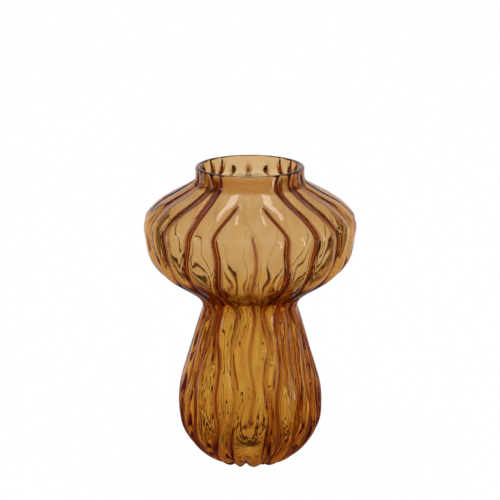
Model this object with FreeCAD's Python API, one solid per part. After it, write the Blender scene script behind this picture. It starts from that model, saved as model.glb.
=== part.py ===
import FreeCAD, Part
import math
import os

# A double-gourd flower vase in ribbed amber glass, in millimetres.
# Two blown glass parts meet face to face at the waist: the lower bulb, which stands on its foot ring,
# and the wide upper bowl with its neck and lip. The origin is on the table, at the centre of the foot.

# Heights, stacked from the table to the lip
bulb_belly_height = 48.0      # table to the bulb's widest ring
bulb_taper_height = 80.0      # from there up to the waist joint
bowl_swell_height = 67.0      # waist joint to the bowl's widest ring
bowl_shoulder_height = 33.0   # from there up to the foot of the neck
neck_height = 12.0

# Radii, measured over the crests of the ribs
foot_radius = 25.5
bulb_radius = 57.6
waist_radius = 38.0
bowl_radius = 84.5
neck_radius = 42.7

# Glass
bulb_wall = 4.2
waist_wall = 4.0
bowl_wall = 2.4               # thinnest where the glass was blown widest
neck_wall = 4.2
base_thickness = 5.5
lip_round = 1.5               # fire-polished edge of the mouth
foot_ring_width = 5.5         # flat ring that the vase stands on
punt_rise = 2.5               # hollow under the base, inside the foot ring

# Ribs: how far the creases are drawn in from the crests
foot_rib_depth = 2.0
bulb_rib_depth = 3.2
waist_rib_depth = 2.4
bowl_rib_depth = 5.0
neck_rib_depth = 1.6
cavity_rib_share = 0.9        # the inside follows the ribs at this share of their depth
crease_wander = 1.8           # how far a crease strays to each side, along the wall
wander_length = 56.0          # height of one wave of that stray
wander_lead_share = 0.37      # share of a wave by which each crease runs ahead of the last

# Route of each crease from top to bottom, as shares of a turn from the front towards the right:
# at the neck, the bowl's belly, the waist, the bulb's belly and the foot
crease_route_shares = (
    (0.000, 0.006, 0.008, 0.003, -0.022),
    (0.035, 0.060, 0.056, 0.039, 0.028),
    (0.097, 0.108, 0.103, 0.075, 0.078),
    (0.138, 0.156, 0.150, 0.122, 0.128),
    (0.197, 0.200, 0.197, 0.167, 0.175),
    (0.244, 0.250, 0.253, 0.217, 0.225),
    (0.297, 0.301, 0.303, 0.269, 0.278),
    (0.352, 0.352, 0.350, 0.325, 0.331),
    (0.391, 0.397, 0.400, 0.381, 0.383),
    (0.443, 0.444, 0.447, 0.433, 0.436),
    (0.511, 0.511, 0.503, 0.492, 0.486),
    (0.550, 0.556, 0.553, 0.544, 0.536),
    (0.601, 0.601, 0.603, 0.597, 0.586),
    (0.643, 0.644, 0.653, 0.650, 0.639),
    (0.700, 0.696, 0.700, 0.703, 0.692),
    (0.744, 0.750, 0.750, 0.753, 0.744),
    (0.800, 0.803, 0.806, 0.800, 0.794),
    (0.861, 0.850, 0.847, 0.849, 0.839),
    (0.904, 0.896, 0.883, 0.917, 0.875),
    (0.958, 0.939, 0.947, 0.960, 0.925),
)
# One rib from crease to crease, as (place share, crest share)
rib_shape_shares = (
    (0.0, 0.0), (0.07, 0.3), (0.2, 0.75), (0.35, 1.0), (0.5, 1.0), (0.65, 1.0), (0.8, 0.75), (0.93, 0.3),
)

# Outlines as (rise share, swell share, rib share), worked from the named heights, radii and depths
bulb_lower_shares = (
    (0.0, 0.0, 0.0), (0.02, 0.115, 0.2), (0.15, 0.425, 0.5), (0.38, 0.75, 0.8), (0.68, 0.985, 1.0),
)
bulb_upper_shares = (
    (0.0, 1.0, 1.0), (0.15, 0.97, 1.0), (0.32, 0.815, 0.95), (0.53, 0.535, 0.8),
    (0.76, 0.28, 0.5), (0.92, 0.09, 0.2), (0.975, 0.0, 0.0), (1.0, 0.0, 0.0),
)
bowl_lower_shares = (
    (0.0, 0.0, 0.0), (0.035, 0.0, 0.0), (0.1, 0.055, 0.1), (0.2, 0.225, 0.45), (0.315, 0.53, 0.75),
    (0.455, 0.785, 0.95), (0.63, 0.935, 1.0), (0.82, 0.965, 1.0), (0.94, 1.0, 1.0),
)
bowl_upper_shares = (
    (0.0, 1.0, 1.0), (0.14, 0.98, 1.0), (0.33, 0.835, 0.9), (0.52, 0.685, 0.75),
    (0.68, 0.44, 0.55), (0.82, 0.24, 0.35), (0.92, 0.11, 0.15), (1.0, 0.0, 0.0),
)
lip_curve_share = 0.35
lip_limit_share = 0.45        # the lip's edge keeps within this share of the neck's wall
neck_level_share = 0.875      # share of the bowl's rise above which its wall is measured level
neck_swell_power = 3          # how late the wall thickens towards the neck

waist_height = bulb_belly_height + bulb_taper_height
bowl_belly_height = waist_height + bowl_swell_height
neck_foot_height = bowl_belly_height + bowl_shoulder_height
vase_height = neck_foot_height + neck_height
route_heights = (vase_height, bowl_belly_height, waist_height, bulb_belly_height, 0.0)
skin_degree = 3


def between(low, high, share):
    """The value at that share of the way from low to high."""
    return low + (high - low) * share


def crease_turn(crease, height, radius):
    """Turn of a crease at that height, in shares of a turn: its eased route, plus a slow stray along the wall."""
    laps, place = divmod(crease, len(crease_route_shares))
    route = crease_route_shares[place]
    turn = route[0]
    for leg in range(len(route) - 1):
        top, low = route_heights[leg], route_heights[leg + 1]
        share = min(max((top - height) / (top - low), 0.0), 1.0)
        turn += (route[leg + 1] - route[leg]) * (1.0 - math.cos(math.pi * share)) / 2.0
    wave = height / wander_length + place * wander_lead_share
    return laps + turn + crease_wander * math.sin(2.0 * math.pi * wave) / (2.0 * math.pi * radius)


def rib_ring(radius, height, depth):
    """Control points round the vase at one height: crests at the radius, creases drawn in by the depth."""
    ring = []
    for crease in range(len(crease_route_shares)):
        start = crease_turn(crease, height, radius)
        end = crease_turn(crease + 1, height, radius)
        for place, crest in rib_shape_shares:
            turn = 2.0 * math.pi * between(start, end, place)
            reach = radius - depth * (1.0 - crest)
            ring.append(FreeCAD.Vector(reach * math.sin(turn), -reach * math.cos(turn), height))
    return ring


def glass_skin(points):
    """One smooth face over rings at (radius, height, rib depth), clamped at both ends and closed round the vase."""
    rings = [rib_ring(*point) for point in points]
    spans = len(rings) - skin_degree
    around = len(rings[0])
    end_mult = skin_degree + 1
    skin = Part.BSplineSurface()
    skin.buildFromPolesMultsKnots(
        rings,
        [end_mult] + [1] * (spans - 1) + [end_mult],
        [1] * (around + 1),
        [float(k) for k in range(spans + 1)],
        [float(k) for k in range(around + 1)],
        False,
        True,
        skin_degree,
        skin_degree,
    )
    return skin.toShape()


def rim_wires(skin):
    """The lower and the upper closed edge of a skin, as wires."""
    rims = sorted((edge for edge in skin.Edges if edge.isClosed()), key=lambda edge: edge.BoundBox.ZMin)
    return Part.Wire(rims[0]), Part.Wire(rims[-1])


def flat_ring(outer_wire, inner_wire):
    """The flat face between two closed wires in one plane."""
    return Part.makeFace([outer_wire, inner_wire], "Part::FaceMakerBullseye")


def closed_solid(faces):
    """One solid from faces that meet at their edges."""
    shell = Part.makeShell(faces)
    shell.sewShape()
    solid = Part.Solid(shell)
    if solid.Volume < 0.0:
        solid.reverse()
    return solid


def outline_points(shares, low_height, rise, low_radius, high_radius, low_depth, high_depth):
    """(radius, height, rib depth) for each line of a table of shares."""
    return [
        (between(low_radius, high_radius, swell), low_height + rise * up, between(low_depth, high_depth, rib))
        for up, swell, rib in shares
    ]


def bulb_outline():
    """The lower bulb's outside, from the foot up to the waist joint."""
    low = outline_points(
        bulb_lower_shares, 0.0, bulb_belly_height, foot_radius, bulb_radius, foot_rib_depth, bulb_rib_depth
    )
    high = outline_points(
        bulb_upper_shares,
        bulb_belly_height,
        bulb_taper_height,
        waist_radius,
        bulb_radius,
        waist_rib_depth,
        bulb_rib_depth,
    )
    return low + high


def bowl_outline():
    """The upper bowl's outside, from the waist joint up to the foot of the neck."""
    low = outline_points(
        bowl_lower_shares,
        waist_height,
        bowl_swell_height,
        waist_radius,
        bowl_radius,
        waist_rib_depth,
        bowl_rib_depth,
    )
    high = outline_points(
        bowl_upper_shares,
        bowl_belly_height,
        bowl_shoulder_height,
        neck_radius,
        bowl_radius,
        neck_rib_depth,
        bowl_rib_depth,
    )
    return low + high


def lip_points(wall_radius, turn_way):
    """One side of the neck, up to its rounded end. turn_way is +1 where it turns outwards, -1 inwards."""
    edge = min(lip_round, lip_limit_share * neck_wall)
    curve = edge * lip_curve_share
    return [
        (wall_radius, vase_height - neck_height / 2.0, 0.0),
        (wall_radius, vase_height - 2.0 * edge, 0.0),
        (wall_radius, vase_height - curve, 0.0),
        (wall_radius + turn_way * curve, vase_height, 0.0),
        (wall_radius + turn_way * edge, vase_height, 0.0),
    ]


def wall_inside(outline, low_wall, mid_wall, high_wall):
    """The outline moved in by the wall, square to it, level at the joint and at the neck."""
    low, top = outline[0][1], outline[-1][1]
    inside = []
    for place, (radius, height, depth) in enumerate(outline):
        before = outline[max(place - 1, 0)]
        after = outline[min(place + 1, len(outline) - 1)]
        slope = math.hypot(after[0] - before[0], after[1] - before[1])
        share = (height - low) / (top - low)
        level = max(share - neck_level_share, 0.0) / (1.0 - neck_level_share)
        out = between((after[1] - before[1]) / slope, 1.0, level)
        up = between((before[0] - after[0]) / slope, 0.0, level)
        wall = between(low_wall, mid_wall, min(2.0 * share, 1.0))
        wall = between(wall, high_wall, max(2.0 * share - 1.0, 0.0) ** neck_swell_power)
        inside.append((radius - wall * out, height - wall * up, depth * cavity_rib_share))
    return inside


def lower_bulb():
    """The bulb: ribbed wall, thick base with a shallow hollow under it, and the flat joint at the waist."""
    outline = bulb_outline()
    outside = glass_skin(outline)
    cavity = []
    for radius, height, depth in outline:
        up = height / waist_height
        wall = between(bulb_wall, waist_wall, up)
        cavity.append((radius - wall, between(base_thickness, waist_height, up), depth * cavity_rib_share))
    inside = glass_skin(cavity)
    foot_wire, outer_joint = rim_wires(outside)
    floor_wire, inner_joint = rim_wires(inside)
    body = closed_solid(
        [outside, inside, Part.Face(foot_wire), Part.Face(floor_wire), flat_ring(outer_joint, inner_joint)]
    )
    punt_radius = foot_radius - foot_ring_width
    punt_ball_radius = (punt_radius**2 + punt_rise**2) / (2.0 * punt_rise)
    punt_ball = Part.makeSphere(punt_ball_radius, FreeCAD.Vector(0, 0, punt_rise - punt_ball_radius))
    return body.cut(punt_ball)


def upper_bowl():
    """The bowl: ribbed wall from the flat joint at the waist up to the neck and its rounded lip."""
    outline = bowl_outline()
    outside = glass_skin(outline + lip_points(neck_radius, -1.0))
    cavity = wall_inside(outline, waist_wall, bowl_wall, neck_wall)
    inside = glass_skin(cavity + lip_points(neck_radius - neck_wall, 1.0))
    outer_joint, outer_lip = rim_wires(outside)
    inner_joint, inner_lip = rim_wires(inside)
    return closed_solid([outside, inside, flat_ring(outer_joint, inner_joint), flat_ring(outer_lip, inner_lip)])


os.makedirs("parts", exist_ok=True)
for name, make in (("lower_bulb", lower_bulb), ("upper_bowl", upper_bowl)):
    piece = make()
    piece.exportStep(os.path.join("parts", name + ".step"))
    print(name, "valid", piece.isValid(), "solids", len(piece.Solids), "volume", round(piece.Volume / 1000.0, 1), "ml")
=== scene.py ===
import math

import bpy
import numpy as np
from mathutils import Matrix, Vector


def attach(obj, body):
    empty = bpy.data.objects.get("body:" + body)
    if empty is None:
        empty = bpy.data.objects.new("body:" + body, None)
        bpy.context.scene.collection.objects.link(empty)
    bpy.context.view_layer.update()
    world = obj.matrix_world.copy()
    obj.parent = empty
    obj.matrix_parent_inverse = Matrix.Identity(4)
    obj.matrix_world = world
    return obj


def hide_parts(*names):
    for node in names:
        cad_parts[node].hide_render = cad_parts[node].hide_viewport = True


# Gourd vase in ribbed amber glass. Lengths in the dictionaries are millimetres and become metres in the
# meshes. Turns are shares of a full turn, from the front (-Y) towards the right.
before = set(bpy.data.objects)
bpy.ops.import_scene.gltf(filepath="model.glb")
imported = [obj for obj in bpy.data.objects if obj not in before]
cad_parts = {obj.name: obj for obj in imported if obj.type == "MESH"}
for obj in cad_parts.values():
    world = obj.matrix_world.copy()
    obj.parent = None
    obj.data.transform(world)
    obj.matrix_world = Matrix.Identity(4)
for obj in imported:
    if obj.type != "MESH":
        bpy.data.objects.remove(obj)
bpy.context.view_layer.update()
metre = 1000.0
print("stage: frame loaded")

# Outside of the vase, over the crests of the ribs. The bowl is a little slimmer than the frame's, to stay
# inside its box.
form = {
    "bulbBellyHeight": 48.0,
    "bulbTaperHeight": 80.0,
    "bowlSwellHeight": 67.0,
    "bowlShoulderHeight": 33.0,
    "neckHeight": 12.0,
    "footRadius": 25.5,
    "bulbRadius": 57.6,
    "waistRadius": 38.0,
    "bowlRadius": 84.08,
    "neckRadius": 42.7,
    "footRibDepth": 3.4,
    "bulbRibDepth": 3.2,
    "waistRibDepth": 2.4,
    "bowlRibDepth": 5.0,
    "neckRibDepth": 1.6,
    "neckRibEnd": 0.4,
}
# Thickness of the glass, the foot's ring and hollow, and the fused seam's swell on the inside.
wall = {
    "foot": 2.3,
    "bulb": 2.9,
    "waist": 3.2,
    "bowl": 2.3,
    "neck": 4.2,
    "neckPower": 3,
    "neckLevelShare": 0.875,
    "base": 4.0,
    "lipRise": 1.8,
    "footRingWidth": 5.5,
    "puntRise": 2.5,
    "puntRings": (0.15, 0.4, 0.65, 0.85, 0.97),
    "footBevel": 0.93,
    "footScallop": 2.6,
    "footScallopReach": 12.0,
    "footScallopPower": 0.7,
    "footScallopInside": 0.5,
    "floorRings": (0.9, 0.7, 0.45, 0.2),
    "floorFall": 0.4,
    "seamSwell": 2.6,
    "seamHeight": 138.0,
    "seamSpread": 4.2,
    "outsideRows": 150,
    "insideRows": 84,
    "lipRows": 9,
}
# Ribs: route of every crease in turns, at the neck, the bowl's belly, the waist, the bulb's belly and the
# foot. Some creases start lower than the others, and some are shallower over a span of heights.
ribs = {
    "routeShares": np.array([
        (0.001, 0.006, 0.008, 0.003, -0.022),
        (0.019, 0.062, 0.056, 0.044, 0.052),
        (0.097, 0.108, 0.103, 0.075, 0.078),
        (0.138, 0.156, 0.150, 0.122, 0.128),
        (0.197, 0.200, 0.197, 0.167, 0.175),
        (0.244, 0.250, 0.253, 0.217, 0.225),
        (0.297, 0.301, 0.303, 0.269, 0.278),
        (0.352, 0.352, 0.350, 0.325, 0.331),
        (0.391, 0.397, 0.400, 0.381, 0.383),
        (0.443, 0.444, 0.447, 0.433, 0.436),
        (0.511, 0.511, 0.503, 0.492, 0.486),
        (0.550, 0.556, 0.553, 0.544, 0.536),
        (0.601, 0.601, 0.603, 0.597, 0.586),
        (0.643, 0.644, 0.653, 0.650, 0.639),
        (0.700, 0.696, 0.700, 0.703, 0.692),
        (0.744, 0.750, 0.750, 0.753, 0.744),
        (0.800, 0.803, 0.806, 0.800, 0.794),
        (0.861, 0.850, 0.847, 0.849, 0.839),
        (0.904, 0.896, 0.883, 0.917, 0.875),
        (0.977, 0.944, 0.947, 0.960, 0.925),
    ]),
    "topStop": 226.0,
    "topHeights": {0: 205.0, 1: 220.0, 19: 221.0, 9: 234.0, 10: 235.0, 11: 234.0},
    "topFade": 5.0,
    "quietCreases": [7, 8, 9, 10, 11, 12, 13],
    "quietHeights": (134.0, 147.0, 194.0, 200.0, 222.0, 227.0),
    "quietShares": (0.0, 0.7, 0.85, 1.0, 1.0, 0.0),
    "faintCrease": 0,
    "faintHeights": (6.0, 13.0, 43.0, 50.0, 130.0, 150.0),
    "faintShares": (1.0, 0.05, 0.05, 1.0, 1.0, 0.45),
    "wander": 1.8,
    "wanderLength": 56.0,
    "wanderLeadShare": 0.37,
    "columnsPerRib": 22,
    "crowding": 0.4,
    "lobeShare": 0.55,
}
# Grooves on the outside and the ridges behind them on the inside: depth over the height, and half width.
# Folds are the finer ones between the creases of the bulb. The last values are for the painted shade in the
# grooves, the painted shade round the smooth pad at the front of the foot and the painted dark band above
# the seam, whose waves are (count, lead, size).
grooves = {
    "heights": (0.0, 20.0, 48.0, 128.0, 150.0, 195.0, 222.0, 234.0, 238.5),
    "depths": (3.0, 3.0, 3.1, 2.4, 2.5, 2.9, 3.2, 1.9, 0.0),
    "width": 1.45,
    "insideShare": 1.25,
    "insideFadeHeights": (5.0, 18.0),
    "insideFadeShares": (0.1, 1.0),
    "insideWidth": 2.2,
    "foldsPerRib": 1,
    "foldHeights": (6.0, 24.0, 112.0, 134.0),
    "foldDepths": (0.9, 2.6),
    "foldWidths": (1.4, 2.4),
    "foldShift": 0.07,
    "foldSway": 0.07,
    "foldLength": 74.0,
    "foldSecondRate": 2.3,
    "foldSecondSize": 0.5,
    "foldComeLength": 140.6,
    "foldComeShare": 0.7,
    "foldComeSize": 0.5,
    "calmHeights": (4.0, 16.0, 104.0, 124.0),
    "calmShares": (0.0, 0.55, 0.55, 0.0),
    "frontFolds": [19, 0],
    "frontHeights": (43.0, 50.0),
    "frontWidthShare": 0.05,
    "frontReach": 0.35,
    "seed": 7,
    # Painted shade in the grooves: full at this depth, by this power, weaker at the back, and over the
    # height.
    "shadeFullDepth": 1.8,
    "shadePower": 1.7,
    "shadeBackShare": 0.4,
    "shadeHeights": (0.0, 3.0, 8.0, 110.0, 150.0, 232.0, 238.0),
    "shadeShares": (0.6, 0.5, 0.2, 0.24, 1.0, 0.9, 0.0),
    "padHalfWidth": 15.0,
    "padShift": 0.8,
    "padHeights": (13.0, 47.0),
    "padLobe": 1.6,
    "padLobeWidth": 9.0,
    "padDroop": 9.0,
    "padFades": (1.5, 3.0, 6.0),
    # Painted shade: faint inside the smooth pad, dark along its edge.
    "padShade": 0.02,
    "padEdgeShade": 0.7,
    # Painted shade: a dark band above the seam, with a scalloped edge from its waves.
    "seamShadeBand": 0.95,
    "seamShadeRise": 10.0,
    "seamShadeSpread": 4.2,
    "seamShadeSway": 2.6,
    "seamShadeWaves": ((3.0, 0.55, 1.0), (20.0, 0.2, 0.8)),
}
# Ripples of the inside: how far they reach over the height, how many there are round the vase, how far and
# over which height they sway.
ripples = {
    "heights": (6.0, 30.0, 108.0, 128.0, 150.0, 205.0, 222.0),
    "reaches": (0.0, 0.6, 0.6, 0.1, 0.3, 0.25, 0.0),
    "counts": (19, 31),
    "sways": (0.8, 0.6),
    "lengths": (120.0, 83.0),
}
waistHeight = form["bulbBellyHeight"] + form["bulbTaperHeight"]
bowlBellyHeight = waistHeight + form["bowlSwellHeight"]
neckFootHeight = bowlBellyHeight + form["bowlShoulderHeight"]
vaseHeight = neckFootHeight + form["neckHeight"]


# A mix of two values: low at share 0, high at share 1.
def between(low, high, share):
    return low + (high - low) * share


# Poles (radius, height, rib depth) from shares of a rise, of a swell and of a rib depth.
def outlinePoles(shares, lowHeight, rise, radii, depths):
    up, swell, rib = np.array(shares).T
    return np.stack([between(*radii, swell), lowHeight + rise * up, between(*depths, rib)], axis=1)


# The outside from foot to neck: bulb below its belly, bulb above it, bowl below its belly, bowl above it.
def outsidePoles():
    f = form
    bulbLow = outlinePoles(
        [(0.0, 0.0, 0.0), (0.02, 0.115, 0.2), (0.15, 0.425, 0.5), (0.38, 0.75, 0.8), (0.68, 0.985, 1.0)],
        0.0, f["bulbBellyHeight"],
        (f["footRadius"], f["bulbRadius"]), (f["footRibDepth"], f["bulbRibDepth"]),
    )
    bulbHigh = outlinePoles(
        [(0.0, 1.0, 1.0), (0.15, 0.97, 1.0), (0.32, 0.815, 0.95), (0.53, 0.535, 0.8), (0.76, 0.28, 0.5),
         (0.92, 0.09, 0.2), (0.975, 0.0, 0.0)],
        f["bulbBellyHeight"], f["bulbTaperHeight"],
        (f["waistRadius"], f["bulbRadius"]), (f["waistRibDepth"], f["bulbRibDepth"]),
    )
    bowlLow = outlinePoles(
        [(0.0, 0.0, 0.0), (0.035, 0.0, 0.0), (0.1, 0.055, 0.1), (0.2, 0.225, 0.45), (0.315, 0.53, 0.75),
         (0.455, 0.785, 0.95), (0.63, 0.935, 1.0), (0.82, 0.965, 1.0), (0.94, 1.0, 1.0)],
        waistHeight, f["bowlSwellHeight"],
        (f["waistRadius"], f["bowlRadius"]), (f["waistRibDepth"], f["bowlRibDepth"]),
    )
    bowlHigh = outlinePoles(
        [(0.0, 1.0, 1.0), (0.14, 0.98, 1.0), (0.33, 0.835, 0.9), (0.52, 0.685, 0.75), (0.68, 0.44, 0.55),
         (0.82, 0.24, 0.35), (0.92, 0.11, 0.15), (1.0, 0.0, 0.0)],
        bowlBellyHeight, f["bowlShoulderHeight"],
        (f["neckRadius"], f["bowlRadius"]), (f["neckRibDepth"], f["bowlRibDepth"]),
    )
    return np.concatenate([bulbLow, bulbHigh]), np.concatenate([bowlLow, bowlHigh])


# One side of the straight neck, from its middle up to where the lip begins.
def neckPoles(radius):
    middle = vaseHeight - form["neckHeight"] / 2.0
    return np.array([(radius, middle, form["neckRibEnd"]), (radius, vaseHeight - wall["lipRise"], 0.0)])


# Bulb's inside: the outside less its wall, with the heights drawn together so that the base stays thick.
# Bowl's inside: the outside moved in square to its own slope, and level towards the neck.
def insidePoles(bulb, bowl):
    up = bulb[:, 1] / waistHeight
    thick = np.interp(
        bulb[:, 1], (0.0, form["bulbBellyHeight"], waistHeight), (wall["foot"], wall["bulb"], wall["waist"])
    )
    bulbIn = np.stack(
        [bulb[:, 0] - thick, between(wall["base"], waistHeight, up), bulb[:, 2]], axis=1
    )
    along = np.gradient(bowl[:, :2], axis=0)
    along[0] = (0.0, 1.0)
    along /= np.linalg.norm(along, axis=1, keepdims=True)
    share = 2.0 * (bowl[:, 1] - waistHeight) / (neckFootHeight - waistHeight)
    thick = between(wall["waist"], wall["bowl"], np.clip(share, 0.0, 1.0))
    thick = between(thick, wall["neck"], np.clip(share - 1.0, 0.0, 1.0) ** wall["neckPower"])
    levelShare = wall["neckLevelShare"]
    level = np.clip((share / 2.0 - levelShare) / (1.0 - levelShare), 0.0, 1.0)[:, None]
    along = between(along, np.array([[0.0, 1.0]]), level)
    bowlIn = np.stack(
        [bowl[:, 0] - thick * along[:, 1], bowl[:, 1] + thick * along[:, 0], bowl[:, 2]], axis=1
    )
    return bulbIn, bowlIn


# Cubic spline through poles, clamped at its ends: each pole's weight is built up degree by degree from the
# knot spans (Cox and de Boor), for all the places along it at once.
def splineRows(poles, rowCount):
    degree = 3
    spans = len(poles) - degree
    knots = np.concatenate([np.zeros(degree), np.arange(spans + 1.0), np.full(degree, float(spans))])
    place = np.linspace(0.0, spans - 1e-9, rowCount)[:, None]
    weight = ((place >= knots[:-1]) & (place < knots[1:])).astype(float)
    for d in range(1, degree + 1):
        lowGap = knots[d:-1] - knots[:-d - 1]
        highGap = knots[d + 1:] - knots[1:-d]
        low = np.where(lowGap > 0, (place - knots[:-d - 1]) / np.where(lowGap > 0, lowGap, 1.0), 0.0)
        high = np.where(highGap > 0, (knots[d + 1:] - place) / np.where(highGap > 0, highGap, 1.0), 0.0)
        weight = weight[:, :-1] * low + weight[:, 1:] * high
    return weight @ poles


# Turn of every crease at every row, in shares of a turn: its route, eased by a cosine between the five
# heights, plus a sine along the height that is as wide as the wander on the wall.
def creaseTurns(height, radius):
    stops = [ribs["topStop"], bowlBellyHeight, waistHeight, form["bulbBellyHeight"], 0.0]
    route = ribs["routeShares"]
    turn = np.repeat(route[None, :, 0], len(height), axis=0)
    for leg in range(len(stops) - 1):
        share = np.clip((stops[leg] - height) / (stops[leg] - stops[leg + 1]), 0.0, 1.0)
        eased = (1.0 - np.cos(np.pi * share)) / 2.0
        turn += eased[:, None] * (route[:, leg + 1] - route[:, leg])[None, :]
    lead = np.arange(len(route)) * ribs["wanderLeadShare"]
    wave = np.sin(2.0 * np.pi * (height[:, None] / ribs["wanderLength"] + lead[None, :]))
    return turn + ribs["wander"] * wave / (2.0 * np.pi * radius[:, None])


# How much of every crease is left at every row: 1 below its top, fading to 0 over it by a cosine. The
# creases at the back are shallower in the bowl, by the quiet shares. The one at the front is faint on the
# bowl and on the smooth pad.
def creaseReach(height):
    top = np.full(len(ribs["routeShares"]), np.inf)
    for crease, limit in ribs["topHeights"].items():
        top[crease] = limit
    share = np.clip((height[:, None] - top[None, :]) / ribs["topFade"] + 1.0, 0.0, 1.0)
    reach = (1.0 + np.cos(np.pi * share)) / 2.0
    quiet = np.interp(height, ribs["quietHeights"], ribs["quietShares"])
    reach[:, ribs["quietCreases"]] *= 1.0 - quiet[:, None]
    reach[:, ribs["faintCrease"]] *= np.interp(height, ribs["faintHeights"], ribs["faintShares"])
    return reach


# Angle of every column at every row, and its depth in the lobes: 0 on a crest, 1 at a crease, a parabola
# across the rib. The columns crowd towards the creases by a sine.
def ribColumns(height, radius, columnsPerRib):
    turn = creaseTurns(height, radius)
    turn = np.concatenate([turn, turn[:, :1] + 1.0], axis=1)
    reach = creaseReach(height)
    reach = np.concatenate([reach, reach[:, :1]], axis=1)
    step = np.arange(columnsPerRib) / columnsPerRib
    place = (step - ribs["crowding"] * np.sin(2.0 * np.pi * step) / (2.0 * np.pi))[None, None, :]
    start = turn[:, :-1, None]
    angle = start + (turn[:, 1:, None] - start) * place
    near, far = reach[:, :-1, None], reach[:, 1:, None]
    lobe = (1.0 - 2.0 * place) ** 2 * np.where(place < 0.5, near, far)
    rows = len(height)
    return angle.reshape(rows, -1), lobe.reshape(rows, -1)


# Turn, depth and half width of every groove at every row: the creases, then the folds, which sway between
# their two creases by two sines along the height and come and go by another. At the back they are calmer,
# and no fold runs over the smooth pad.
def grooveFamily(height, radius):
    turn = creaseTurns(height, radius)
    depth = np.interp(height, grooves["heights"], grooves["depths"])[:, None] * creaseReach(height)
    calm = 1.0 - np.interp(height, grooves["calmHeights"], grooves["calmShares"])[:, None]
    depth[:, ribs["quietCreases"]] *= calm
    width = np.full(turn.shape[1], grooves["width"])
    ends = np.concatenate([turn, turn[:, :1] + 1.0], axis=1)
    chance = np.random.default_rng(grooves["seed"])
    count = grooves["foldsPerRib"]
    inside = np.interp(height, grooves["foldHeights"], (0.0, 1.0, 1.0, 0.0))
    clear = np.interp(height, grooves["frontHeights"], (0.0, 1.0))[:, None]
    up = height[:, None] / grooves["foldLength"]
    shift = grooves["foldShift"]
    foldTurns, foldDepths, foldWidths = [], [], []
    for fold in range(count):
        base = (fold + 1.0) / (count + 1.0) + chance.uniform(-shift, shift, turn.shape[1])
        lead, comeLead, secondLead = chance.uniform(0.0, 1.0, (3, turn.shape[1]))
        wave = np.sin(2.0 * np.pi * (up + lead))
        second = np.sin(2.0 * np.pi * (grooves["foldSecondRate"] * up + secondLead))
        place = base + grooves["foldSway"] * (wave + grooves["foldSecondSize"] * second)
        foldTurns.append(between(ends[:, :-1], ends[:, 1:], place))
        come = np.sin(2.0 * np.pi * (height[:, None] / grooves["foldComeLength"] + comeLead))
        there = np.clip(grooves["foldComeShare"] + grooves["foldComeSize"] * come, 0.0, 1.0)
        foldDepth = chance.uniform(*grooves["foldDepths"], turn.shape[1]) * inside[:, None] * there
        foldDepth[:, ribs["quietCreases"]] *= calm
        foldDepth[:, grooves["frontFolds"]] *= clear
        foldDepths.append(foldDepth)
        foldWidths.append(chance.uniform(*grooves["foldWidths"], turn.shape[1]))
    turns = np.concatenate([turn] + foldTurns, axis=1)
    depths = np.concatenate([depth] + foldDepths, axis=1)
    widths = np.concatenate([width] + foldWidths)
    return turns, depths, widths


# Depth of the grooves at every column: the sum of a bell over the distance along the wall to each groove.
def grooveDepth(turns, height, radius, widthShare):
    routes, depths, widths = grooveFamily(height, radius)
    total = np.zeros_like(turns)
    for k in range(routes.shape[1]):
        away = (turns - routes[:, k:k + 1] + 0.5) % 1.0 - 0.5
        arc = away * 2.0 * np.pi * radius[:, None]
        total += depths[:, k:k + 1] * np.exp(-(arc / (widths[k] * widthShare)) ** 2)
    return total


# How much of a thing at the front is there: 1 in front, fading out towards the back by a cosine.
def frontShare(turns):
    return np.clip(grooves["frontReach"] + np.cos(2.0 * np.pi * turns), 0.0, 1.0)


# Painted shade of a dark band just above the fused seam: a bell over the height whose middle sways round the
# vase by two sines, fading out towards the back.
def seamShadeBand(turns, height):
    waves = grooves["seamShadeWaves"]
    wave = sum(size * np.sin(2.0 * np.pi * (count * turns + lead)) for count, lead, size in waves)
    away = height[:, None] - wall["seamHeight"] - grooves["seamShadeRise"] - grooves["seamShadeSway"] * wave
    return grooves["seamShadeBand"] * frontShare(turns) * np.exp(-(away / grooves["seamShadeSpread"]) ** 2)


# Painted shade of the smooth pad at the front of the foot, faint inside it and dark along its edge: its
# share is 1 inside an arch whose top is a parabola with cosine lobes, and the dark line round it is the
# parabola of that share.
def padShade(turns, height, radius):
    low, high = grooves["padHeights"]
    sideFade, topFade, lowFade = grooves["padFades"]
    arc = ((turns + 0.5) % 1.0 - 0.5) * 2.0 * np.pi * radius[:, None] - grooves["padShift"]
    lobes = grooves["padLobe"] * np.cos(2.0 * np.pi * arc / grooves["padLobeWidth"])
    top = high + lobes - (arc / grooves["padDroop"]) ** 2
    side = np.clip((grooves["padHalfWidth"] - np.abs(arc)) / sideFade, 0.0, 1.0)
    share = side * np.clip((top - height[:, None]) / topFade, 0.0, 1.0)
    under = np.clip((height[:, None] - low) / lowFade, 0.0, 1.0)
    return under * (grooves["padShade"] * share + grooves["padEdgeShade"] * 4.0 * share * (1.0 - share))


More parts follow.
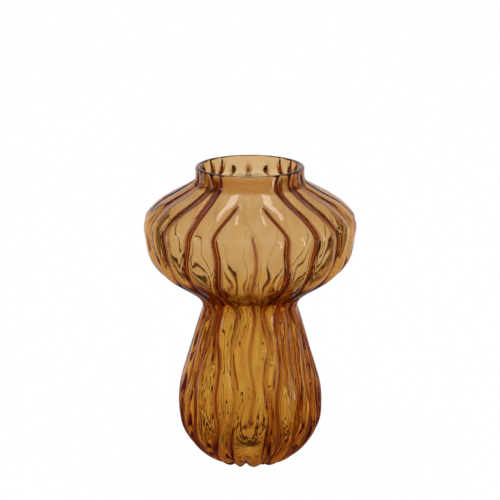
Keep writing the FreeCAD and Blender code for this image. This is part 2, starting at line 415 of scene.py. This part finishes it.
# Points of one skin: every row of the outline carried round, drawn in by the lobes and by the grooves. The
# fourth value of a point is its painted shade: a power of its groove's depth, or the seam band's or the
# pad's.
def ribbedSkin(rows, columnsPerRib, grooveShare, widthShare):
    radius, height, depth = rows.T
    turns, lobe = ribColumns(height, radius, columnsPerRib)
    reach = radius[:, None] - depth[:, None] * ribs["lobeShare"] * lobe
    groove = grooveDepth(turns, height, radius, widthShare)
    reach = reach - grooveShare * groove
    # Painted shade: darker where the groove is deeper, over the height and weaker towards the back; then the
    # painted seam band and the painted shade round the pad.
    crease = np.clip(groove / grooves["shadeFullDepth"], 0.0, 1.0) ** grooves["shadePower"]
    crease *= np.interp(height, grooves["shadeHeights"], grooves["shadeShares"])[:, None]
    crease *= between(grooves["shadeBackShare"], 1.0, frontShare(turns))
    crease = np.maximum(crease, seamShadeBand(turns, height)) + padShade(turns, height, radius)
    up = np.repeat(height[:, None], turns.shape[1], axis=1)
    angle = 2.0 * np.pi * turns
    return np.stack([reach * np.sin(angle), -reach * np.cos(angle), up, crease], axis=2)


# Rows from a ring towards the axis: the ring scaled to shares of its radius, at the heights given.
def discRows(ring, shares, heights):
    rows = np.repeat(ring[None], len(shares), axis=0).copy()
    rows[:, :, :2] *= np.array(shares)[:, None, None]
    rows[:, :, 2] = heights
    rows[:, :, 3] = 0.0
    return rows


# The inside's ripples: two waves round the vase that sway with the height, over how far they reach there.
# They stop on the smooth pad. The fused seam is a bell of extra glass over the height. The inside takes no
# painted shade.
def rippled(skin):
    turns = np.arctan2(skin[:, :, 0], -skin[:, :, 1]) / (2.0 * np.pi)
    height = skin[:, :, 2]
    wave = np.zeros_like(turns)
    for count, sway, length in zip(ripples["counts"], ripples["sways"], ripples["lengths"]):
        wave += np.sin(2.0 * np.pi * (count * turns + sway * np.sin(2.0 * np.pi * height / length))) / 2.0
    reach = np.hypot(skin[:, :, 0], skin[:, :, 1])
    smooth = np.exp(-(turns / grooves["frontWidthShare"]) ** 4)
    smooth *= np.interp(height, grooves["frontHeights"], (1.0, 0.0))
    wave *= 1.0 - smooth
    seam = wall["seamSwell"] * np.exp(-((height - wall["seamHeight"]) / wall["seamSpread"]) ** 2)
    moved = 1.0 + wave * np.interp(height, ripples["heights"], ripples["reaches"]) / reach
    moved -= seam * frontShare(turns) / reach
    plan = skin[:, :, :2] * moved[:, :, None]
    return np.concatenate([plan, skin[:, :, 2:3], np.zeros_like(skin[:, :, 3:])], axis=2)


# Quads between neighbouring rows of a block of points that starts at one index, wrapped round.
def wrapQuads(start, rowCount, columnCount):
    index = start + np.arange(rowCount * columnCount).reshape(rowCount, columnCount)
    after = np.roll(index, -1, axis=1)
    return np.stack([index[:-1], after[:-1], after[1:], index[1:]], axis=2).reshape(-1, 4)


# One closed skin: a fan, the fine rows, a strip of triangles where every second column ends, the coarse rows
# and a fan.
def closedMesh(name, fine, coarse, firstPoint, lastPoint):
    fineRows, fineColumns = fine.shape[:2]
    coarseRows, coarseColumns = coarse.shape[:2]
    fineCount, coarseCount = fineRows * fineColumns, coarseRows * coarseColumns
    points = np.concatenate([fine.reshape(-1, 4), coarse.reshape(-1, 4), [firstPoint, lastPoint]])
    quads = np.concatenate([
        wrapQuads(0, fineRows, fineColumns),
        wrapQuads(fineCount, coarseRows, coarseColumns),
    ])
    bottom = np.arange(fineColumns)
    rim = fineCount - fineColumns + np.arange(fineColumns)
    inner = fineCount + np.arange(coarseColumns)
    end = fineCount + coarseCount - coarseColumns + np.arange(coarseColumns)
    first, last = fineCount + coarseCount, fineCount + coarseCount + 1
    even, odd, nextEven = rim[0::2], rim[1::2], np.roll(rim[0::2], -1)
    innerNext = np.roll(inner, -1)
    triangles = np.concatenate([
        np.stack([np.full(fineColumns, first), np.roll(bottom, -1), bottom], axis=1),
        np.stack([even, odd, inner], axis=1),
        np.stack([odd, innerNext, inner], axis=1),
        np.stack([odd, nextEven, innerNext], axis=1),
        np.stack([np.full(coarseColumns, last), end, np.roll(end, -1)], axis=1),
    ])
    mesh = bpy.data.meshes.new(name)
    mesh.from_pydata((points[:, :3] / metre).tolist(), [], quads.tolist() + triangles.tolist())
    mesh.update()
    # The fourth values go into the crease attribute, the painted shade that the glass reads.
    crease = mesh.attributes.new("crease", "FLOAT", "POINT")
    crease.data.foreach_set("value", points[:, 3].astype(np.float32))
    mesh.shade_smooth()
    made = bpy.data.objects.new(name, mesh)
    bpy.context.scene.collection.objects.link(made)
    return made


# Lip: half an ellipse from the outer wall over to the inner wall.
def lipRings(outerEdge, innerEdge):
    swing = np.pi * np.linspace(0.0, 1.0, wall["lipRows"] + 2)[1:-1, None]
    rings = between(outerEdge, innerEdge, ((1.0 - np.cos(swing)) / 2.0)[:, :, None])
    rings[:, :, 2] = vaseHeight - wall["lipRise"] * (1.0 - np.sin(swing))
    return rings


# The vase as one closed skin, from the middle of the hollow under its foot, over the lip, to the middle of
# its floor. The ribs stand on the table and the creases between them end higher, by a power of their lobes.
def vaseMesh():
    bulb, bowl = outsidePoles()
    bulbIn, bowlIn = insidePoles(bulb, bowl)
    innerNeck = form["neckRadius"] - wall["neck"]
    outRows = splineRows(np.concatenate([bulb, bowl, neckPoles(form["neckRadius"])]), wall["outsideRows"])
    inRows = splineRows(np.concatenate([bulbIn, bowlIn, neckPoles(innerNeck)]), wall["insideRows"])
    fineColumns = ribs["columnsPerRib"]
    outside = ribbedSkin(outRows, fineColumns, 1.0, 1.0)
    footLobe = ribColumns(outRows[:1, 1], outRows[:1, 0], fineColumns)[1]
    lift = wall["footScallop"] * footLobe ** wall["footScallopPower"]
    outside[:, :, 2] += lift * np.clip(1.0 - outside[:, :, 2] / wall["footScallopReach"], 0.0, 1.0)
    insideWidth = grooves["insideWidth"] / grooves["width"]
    fade = np.interp(inRows[:, 1], grooves["insideFadeHeights"], grooves["insideFadeShares"])
    insideShare = grooves["insideShare"] * fade[:, None]
    inside = rippled(ribbedSkin(inRows, fineColumns // 2, insideShare, insideWidth))
    insideEdge = ribbedSkin(inRows[-1:], fineColumns, insideShare[-1:], insideWidth)[0]
    puntEdge = (form["footRadius"] - wall["footRingWidth"]) / form["footRadius"]
    puntShares = puntEdge * np.array(wall["puntRings"])
    puntHeights = wall["puntRise"] * (1.0 - (puntShares / puntEdge) ** 2)
    punt = discRows(outside[0], puntShares, puntHeights[:, None])
    footLifts = np.array([wall["footScallopInside"], 1.0])[:, None] * lift
    foot = discRows(outside[0], (puntEdge, wall["footBevel"]), footLifts)
    floorShares = np.array(wall["floorRings"])
    floorHeights = wall["base"] - wall["floorFall"] * (1.0 - floorShares)
    floor = discRows(inside[0], floorShares, floorHeights[:, None])
    fine = np.concatenate([punt, foot, outside, lipRings(outside[-1], insideEdge)])
    coarse = np.concatenate([inside[::-1], floor])
    lowMiddle = (0.0, 0.0, wall["puntRise"], 0.0)
    floorMiddle = (0.0, 0.0, wall["base"] - wall["floorFall"], 0.0)
    made = closedMesh("glass_vase", fine, coarse, lowMiddle, floorMiddle)
    print("stage: vase mesh", sum(len(face.vertices) - 2 for face in made.data.polygons), "triangles")
    return made


# A node at a place, with its settings and the values of its inputs, whose names have _ for a space.
def addNode(tree, kind, place, **values):
    node = tree.nodes.new(kind)
    node.location = place
    for name, value in values.items():
        if hasattr(node, name):
            setattr(node, name, value)
        else:
            node.inputs[name.replace("_", " ")].default_value = value
    return node


# A product or comparison of an input with a fixed second value.
def addMath(tree, place, operation, second):
    node = addNode(tree, "ShaderNodeMath", place, operation=operation)
    node.inputs[1].default_value = second
    return node


# A value carried from one span to another, eased at both ends unless it is to be even.
def addRange(tree, place, source, target, steps="SMOOTHSTEP"):
    return addNode(
        tree, "ShaderNodeMapRange", place, interpolation_type=steps,
        From_Min=source[0], From_Max=source[1], To_Min=target[0], To_Max=target[1],
    )


# Glass: the volume's colour and density, the waves that blowing leaves on its faces (size and height in mm),
# the cords (streaks of deeper tint), the seeds (tiny bubbles) and the scuffed foot ring.
amber = {
    "absorbColour": (0.80, 0.62, 0.28, 1.0),
    "absorbDensity": 500.0,
    "ior": 1.5,
    "waveSize": 13.0,
    "waveStretch": 0.45,
    "waveHeight": 0.16,
    "cordTint": (1.0, 0.93, 0.82, 1.0),
    "cordSize": 9.0,
    "cordStretch": 0.12,
    "cordSpan": (0.45, 0.75),
    # Colour of the painted shade in the grooves where it is full.
    "creaseShadeColour": (0.07, 0.007, 0.002, 1.0),
    "bulbTint": (1.0, 0.92, 0.57, 1.0),
    "seedSpacing": 17.0,
    "seedRadius": 0.35,
    "seedHeight": 0.25,
    "scuffScale": 900.0,
    "footRoughness": 0.35,
    "footHeight": 0.5,
    "skinRoughness": 0.012,
}


# A node group with named sockets. Each socket is (name, kind).
def newGroup(name, takes, gives):
    group = bpy.data.node_groups.new(name, "ShaderNodeTree")
    for sockets, way in ((takes, "INPUT"), (gives, "OUTPUT")):
        for label, kind in sockets:
            group.interface.new_socket(label, in_out=way, socket_type="NodeSocket" + kind)
    return group, addNode(group, "NodeGroupInput", (-900, 0)), addNode(group, "NodeGroupOutput", (900, 0))


# Blown skin: noise drawn out along the height is the height map of the waves; seeds are bells round the
# centres of sparse cells.
def blownSkinGroup():
    group, given, made = newGroup(
        "blownSkin",
        [("Place", "Vector"), ("Wave Scale", "Float"), ("Stretch", "Float"), ("Seed Scale", "Float"),
         ("Seed Share", "Float"), ("Wave Height", "Float"), ("Seed Height", "Float")],
        [("Normal", "Vector")],
    )
    link = group.links.new
    flatter = addNode(group, "ShaderNodeCombineXYZ", (-700, -200), X=1.0, Y=1.0)
    drawn = addNode(group, "ShaderNodeVectorMath", (-500, 0), operation="MULTIPLY")
    waves = addNode(group, "ShaderNodeTexNoise", (-300, 0), Detail=1.0, Roughness=0.35)
    cells = addNode(group, "ShaderNodeTexVoronoi", (-300, -300))
    near = addRange(group, (-100, -300), (0.0, 1.0), (1.0, 0.0))
    waveBump = addNode(group, "ShaderNodeBump", (300, 0))
    seedBump = addNode(group, "ShaderNodeBump", (600, 0))
    link(given.outputs["Stretch"], flatter.inputs["Z"])
    link(given.outputs["Place"], drawn.inputs[0])
    link(flatter.outputs[0], drawn.inputs[1])
    link(drawn.outputs[0], waves.inputs["Vector"])
    link(given.outputs["Wave Scale"], waves.inputs["Scale"])
    link(given.outputs["Place"], cells.inputs["Vector"])
    link(given.outputs["Seed Scale"], cells.inputs["Scale"])
    link(cells.outputs["Distance"], near.inputs["Value"])
    link(given.outputs["Seed Share"], near.inputs["From Max"])
    link(waves.outputs[0], waveBump.inputs["Height"])
    link(given.outputs["Wave Height"], waveBump.inputs["Distance"])
    link(near.outputs[0], seedBump.inputs["Height"])
    link(given.outputs["Seed Height"], seedBump.inputs["Distance"])
    link(waveBump.outputs[0], seedBump.inputs["Normal"])
    link(seedBump.outputs[0], made.inputs["Normal"])
    return group


# Cords: a tint that comes and goes with noise drawn out along the height, over the deeper tone of the bulb's
# glass, which ends at the seam.
def cordTintGroup():
    group, given, made = newGroup(
        "cordTint",
        [("Place", "Vector"), ("Scale", "Float"), ("Tint", "Color"), ("Bulb Tint", "Color"),
         ("Seam", "Float")],
        [("Colour", "Color")],
    )
    link = group.links.new
    drawn = addNode(group, "ShaderNodeVectorMath", (-600, 0), operation="MULTIPLY")
    drawn.inputs[1].default_value = (1.0, 1.0, amber["cordStretch"])
    streaks = addNode(group, "ShaderNodeTexNoise", (-400, 0), Detail=3.0)
    mask = addRange(group, (-200, 0), amber["cordSpan"], (0.0, 1.0))
    split = addNode(group, "ShaderNodeSeparateXYZ", (-600, 300))
    above = addNode(group, "ShaderNodeMath", (-400, 300), operation="GREATER_THAN")
    gather = addNode(group, "ShaderNodeMix", (0, 300), data_type="RGBA")
    gather.inputs[7].default_value = (1.0, 1.0, 1.0, 1.0)
    mix = addNode(group, "ShaderNodeMix", (200, 0), data_type="RGBA", blend_type="MULTIPLY")
    link(given.outputs["Place"], split.inputs[0])
    link(split.outputs["Z"], above.inputs[0])
    link(given.outputs["Seam"], above.inputs[1])
    link(above.outputs[0], gather.inputs[0])
    link(given.outputs["Bulb Tint"], gather.inputs[6])
    link(gather.outputs[2], mix.inputs[6])
    link(given.outputs["Place"], drawn.inputs[0])
    link(drawn.outputs[0], streaks.inputs["Vector"])
    link(given.outputs["Scale"], streaks.inputs["Scale"])
    link(streaks.outputs[0], mask.inputs["Value"])
    link(mask.outputs[0], mix.inputs[0])
    link(given.outputs["Tint"], mix.inputs[7])
    link(mix.outputs[2], made.inputs["Colour"])
    return group


# Scuffs: up to a height just above the table, the skin's roughness is mixed with the foot ring's by noise.
def footScuffGroup():
    group, given, made = newGroup(
        "footScuff",
        [("Place", "Vector"), ("Height", "Float"), ("Foot", "Float"), ("Skin", "Float")],
        [("Roughness", "Float")],
    )
    link = group.links.new
    split = addNode(group, "ShaderNodeSeparateXYZ", (-600, 0))
    low = addNode(group, "ShaderNodeMath", (-400, 0), operation="LESS_THAN")
    grain = addNode(group, "ShaderNodeTexNoise", (-600, -300), Scale=amber["scuffScale"], Detail=4.0)
    worn = addNode(group, "ShaderNodeMath", (-200, 0), operation="MULTIPLY")
    mix = addNode(group, "ShaderNodeMix", (200, 0), data_type="FLOAT")
    link(given.outputs["Place"], split.inputs[0])
    link(given.outputs["Place"], grain.inputs["Vector"])
    link(split.outputs["Z"], low.inputs[0])
    link(given.outputs["Height"], low.inputs[1])
    link(low.outputs[0], worn.inputs[0])
    link(grain.outputs[0], worn.inputs[1])
    link(worn.outputs[0], mix.inputs[0])
    link(given.outputs["Skin"], mix.inputs[2])
    link(given.outputs["Foot"], mix.inputs[3])
    link(mix.outputs[0], made.inputs["Roughness"])
    return group


# A group placed in a material's tree, with the values that its own inputs keep.
def useGroup(tree, group, place, **values):
    node = addNode(tree, "ShaderNodeGroup", place, node_tree=group)
    for name, value in values.items():
        node.inputs[name.replace("_", " ")].default_value = value
    return node


# The glass: the colour of the painted crease shade is raised to the power of the crease attribute, so that
# it keeps its hue where it is weak, and multiplies the colour of the cords.
def amberGlass():
    material = bpy.data.materials.new("amberGlass")
    material.use_nodes = True
    tree = material.node_tree
    tree.nodes.clear()
    link = tree.links.new
    out = addNode(tree, "ShaderNodeOutputMaterial", (600, 0))
    shader = addNode(tree, "ShaderNodeBsdfPrincipled", (200, 0), Transmission_Weight=1.0, IOR=amber["ior"])
    ways = addNode(tree, "ShaderNodeTexCoord", (-900, 0))
    skin = useGroup(
        tree, blownSkinGroup(), (-400, -300),
        Wave_Scale=metre / amber["waveSize"], Stretch=amber["waveStretch"],
        Wave_Height=amber["waveHeight"] / metre, Seed_Scale=metre / amber["seedSpacing"],
        Seed_Share=amber["seedRadius"] / amber["seedSpacing"], Seed_Height=amber["seedHeight"] / metre,
    )
    cords = useGroup(
        tree, cordTintGroup(), (-400, 200), Scale=metre / amber["cordSize"], Tint=amber["cordTint"],
        Bulb_Tint=amber["bulbTint"], Seam=wall["seamHeight"] / metre,
    )
    scuffs = useGroup(
        tree, footScuffGroup(), (-400, 0), Height=amber["footHeight"] / metre, Foot=amber["footRoughness"],
        Skin=amber["skinRoughness"],
    )
    for group in (skin, cords, scuffs):
        link(ways.outputs["Object"], group.inputs["Place"])
    crease = addNode(tree, "ShaderNodeAttribute", (-900, 400), attribute_name="crease")
    deeper = addNode(tree, "ShaderNodeGamma", (-400, 400), Color=amber["creaseShadeColour"])
    shadedBase = addNode(tree, "ShaderNodeMix", (-100, 300), data_type="RGBA", blend_type="MULTIPLY")
    shadedBase.inputs[0].default_value = 1.0
    absorb = addNode(
        tree, "ShaderNodeVolumeAbsorption", (200, -500),
        Color=amber["absorbColour"], Density=amber["absorbDensity"],
    )
    # The crease attribute darkens the base colour: painted shade in the grooves, above the seam and round
    # the pad.
    link(crease.outputs["Fac"], deeper.inputs["Gamma"])
    link(cords.outputs["Colour"], shadedBase.inputs[6])
    link(deeper.outputs[0], shadedBase.inputs[7])
    link(shadedBase.outputs[2], shader.inputs["Base Color"])
    link(scuffs.outputs["Roughness"], shader.inputs["Roughness"])
    link(skin.outputs["Normal"], shader.inputs["Normal"])
    link(shader.outputs[0], out.inputs["Surface"])
    link(absorb.outputs[0], out.inputs["Volume"])
    return material


vase = vaseMesh()
vase.data.materials.append(amberGlass())
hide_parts("lower_bulb", "upper_bowl")
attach(vase, "root")

# Studio, in metres: pale floor, and a sky that is white near the horizon and darker above. The mirrored
# values are what the glass mirrors: inside itself once or more often, and on its outer face from the floor
# and from the sky.
studio = {
    "floorHalf": 6.0,
    "floorColour": (0.9, 0.9, 0.9, 1.0),
    "floorGlow": 0.99,
    "skyWhite": 1.0,
    "skyGrey": 0.8,
    "skySpan": (0.15, 0.6),
    "mirroredOnce": (1.2, 1.02, 0.6, 1.0),
    "mirroredMore": (1.5, 0.7, 0.07, 1.0),
    "mirroredFloor": 0.05,
    "mirroredBack": 0.75,
    "mirroredHorizon": 0.05,
    "mirroredZenith": 0.26,
    "floorBackSpan": (0.0, 0.6),
    "skyBackSpan": (0.3, 0.9),
    "zenithSpan": (0.3, 0.95),
    "bounces": 24,
    "glossyBounces": 12,
}
# Soft lamps: place, the point they face, width, height, and how bright their face looks (1 is white).
lamps = {
    "topLeft": ((-0.27, 0.16, 1.5), (-0.27, 0.20, 0.0), 0.13, 0.60, 4.0),
    "topRight": ((0.27, 0.16, 1.5), (0.27, 0.20, 0.0), 0.13, 0.60, 4.0),
    "leftWindow": ((-1.5, -0.55, 0.8), (0.0, 0.0, 0.19), 0.4, 0.7, 2.5),
    "rightWindow": ((1.2, -1.0, 0.9), (0.0, 0.0, 0.19), 0.3, 0.7, 3.0),
    "lowCard": ((0.55, -0.45, 0.17), (0.0, 0.0, 0.19), 0.05, 0.3, 7.0),
}
# Where the vase is seen from.
viewpoint = {
    "place": (0.0, -1.8, 0.6292),
    "target": (0.0, 0.0, 0.1719),
    "lens": 169.6,
    "sensorWidth": 36.0,
    "farEnd": 50.0,
}


# Light of the room for a ray: white straight or through the glass, warmer after one mirroring inside the
# glass, a warm dusk after more, and little for what its outer face mirrors.
def roomLight(tree, path, place, outerLight):
    x, y = place
    link = tree.links.new
    once = addMath(tree, (x, y), "GREATER_THAN", 0.5)
    more = addMath(tree, (x, y - 200), "GREATER_THAN", 1.5)
    outer = addMath(tree, (x, y - 400), "LESS_THAN", 0.5)
    light = addNode(tree, "ShaderNodeMix", (x + 200, y - 200), data_type="RGBA")
    light.inputs[6].default_value = studio["mirroredOnce"]
    light.inputs[7].default_value = studio["mirroredMore"]
    face = addNode(tree, "ShaderNodeMix", (x + 400, y - 200), data_type="RGBA")
    room = addNode(tree, "ShaderNodeMix", (x + 600, y), data_type="RGBA")
    room.inputs[6].default_value = (1.0, 1.0, 1.0, 1.0)
    link(outerLight, face.inputs[7])
    link(path.outputs["Glossy Depth"], once.inputs[0])
    link(path.outputs["Glossy Depth"], more.inputs[0])
    link(path.outputs["Transmission Depth"], outer.inputs[0])
    link(more.outputs[0], light.inputs[0])
    link(outer.outputs[0], face.inputs[0])
    link(light.outputs[2], face.inputs[6])
    link(once.outputs[0], room.inputs[0])
    link(face.outputs[2], room.inputs[7])
    return room.outputs[2]


# Floor: it glows white where it is seen or mirrored, and is plain paint for the light that falls on it.
def makeFloor():
    half = studio["floorHalf"]
    corners = [(-half, -half, 0), (half, -half, 0), (half, half, 0), (-half, half, 0)]
    mesh = bpy.data.meshes.new("floor")
    mesh.from_pydata(corners, [], [(0, 1, 2, 3)])
    floor = bpy.data.objects.new("floor", mesh)
    bpy.context.scene.collection.objects.link(floor)
    material = bpy.data.materials.new("paleFloor")
    material.use_nodes = True
    tree = material.node_tree
    tree.nodes.clear()
    link = tree.links.new
    out = addNode(tree, "ShaderNodeOutputMaterial", (1000, 0))
    paint = addNode(tree, "ShaderNodeBsdfDiffuse", (0, 0), Color=studio["floorColour"])
    glow = addNode(tree, "ShaderNodeEmission", (400, -200))
    path = addNode(tree, "ShaderNodeLightPath", (-400, 400))
    seen = addNode(tree, "ShaderNodeMath", (200, 300), operation="MAXIMUM")
    share = addMath(tree, (400, 300), "MULTIPLY", studio["floorGlow"])
    mix = addNode(tree, "ShaderNodeMixShader", (800, 0))
    ways = addNode(tree, "ShaderNodeTexCoord", (-1000, -600))
    split = addNode(tree, "ShaderNodeSeparateXYZ", (-800, -600))
    mirrored = (studio["mirroredFloor"], studio["mirroredBack"])
    behind = addRange(tree, (-600, -600), studio["floorBackSpan"], mirrored)
    link(path.outputs["Is Camera Ray"], seen.inputs[0])
    link(path.outputs["Is Glossy Ray"], seen.inputs[1])
    link(seen.outputs[0], share.inputs[0])
    link(share.outputs[0], mix.inputs[0])
    link(paint.outputs[0], mix.inputs[1])
    link(ways.outputs["Object"], split.inputs[0])
    link(split.outputs["Y"], behind.inputs["Value"])
    link(roomLight(tree, path, (-200, -200), behind.outputs[0]), glow.inputs["Color"])
    link(glow.outputs[0], mix.inputs[2])
    link(mix.outputs[0], out.inputs["Surface"])
    mesh.materials.append(material)


# Sky: white where it is seen, dimmed towards the zenith for everything else.
def makeWorld():
    world = bpy.data.worlds.new("studio")
    bpy.context.scene.world = world
    world.use_nodes = True
    tree = world.node_tree
    tree.nodes.clear()
    link = tree.links.new
    out = addNode(tree, "ShaderNodeOutputWorld", (1000, 0))
    back = addNode(tree, "ShaderNodeBackground", (800, 0))
    ways = addNode(tree, "ShaderNodeTexCoord", (-400, 0))
    split = addNode(tree, "ShaderNodeSeparateXYZ", (-200, 0))
    rise = addRange(tree, (0, 0), studio["skySpan"], (studio["skyWhite"], studio["skyGrey"]), "LINEAR")
    mirrored = (studio["mirroredHorizon"], studio["mirroredZenith"])
    overhead = addRange(tree, (0, 300), studio["zenithSpan"], mirrored)
    behind = addRange(tree, (0, 600), studio["skyBackSpan"], (0.0, studio["mirroredBack"]))
    outer = addNode(tree, "ShaderNodeMath", (200, 450), operation="MAXIMUM")
    path = addNode(tree, "ShaderNodeLightPath", (-400, 400))
    room = addNode(tree, "ShaderNodeVectorMath", (450, 0), operation="SCALE")
    white = addNode(tree, "ShaderNodeMix", (650, 0), data_type="RGBA")
    white.inputs[7].default_value = (1.0, 1.0, 1.0, 1.0)
    link(ways.outputs["Generated"], split.inputs[0])
    link(split.outputs["Z"], rise.inputs["Value"])
    link(split.outputs["Z"], overhead.inputs["Value"])
    link(split.outputs["Y"], behind.inputs["Value"])
    link(overhead.outputs[0], outer.inputs[0])
    link(behind.outputs[0], outer.inputs[1])
    link(roomLight(tree, path, (-200, 800), outer.outputs[0]), room.inputs[0])
    link(rise.outputs[0], room.inputs["Scale"])
    link(path.outputs["Is Camera Ray"], white.inputs[0])
    link(room.outputs[0], white.inputs[6])
    link(white.outputs[2], back.inputs["Color"])
    link(back.outputs[0], out.inputs["Surface"])


# A soft lamp, which isn't seen through the glass.
def softLamp(name, place, target, width, height, brightness):
    light = bpy.data.lights.new(name, "AREA")
    light.shape = "RECTANGLE"
    light.size = width
    light.size_y = height
    light.energy = brightness * math.pi * width * height
    lamp = bpy.data.objects.new(name, light)
    bpy.context.scene.collection.objects.link(lamp)
    lamp.location = place
    lamp.visible_transmission = False
    lamp.rotation_euler = (Vector(target) - Vector(place)).to_track_quat("-Z", "Y").to_euler()


def makeCamera():
    data = bpy.data.cameras.new("camera")
    data.sensor_width = viewpoint["sensorWidth"]
    data.lens = viewpoint["lens"]
    data.clip_end = viewpoint["farEnd"]
    camera = bpy.data.objects.new("camera", data)
    bpy.context.scene.collection.objects.link(camera)
    camera.location = viewpoint["place"]
    ahead = Vector(viewpoint["target"]) - camera.location
    camera.rotation_euler = ahead.to_track_quat("-Z", "Y").to_euler()
    bpy.context.scene.camera = camera


makeFloor()
makeWorld()
for lampName, lampValues in lamps.items():
    softLamp(lampName, *lampValues)
makeCamera()
scene = bpy.context.scene
scene.view_settings.view_transform = "Standard"
scene.cycles.max_bounces = studio["bounces"]
scene.cycles.transmission_bounces = studio["bounces"]
scene.cycles.glossy_bounces = studio["glossyBounces"]
print("stage: studio made")
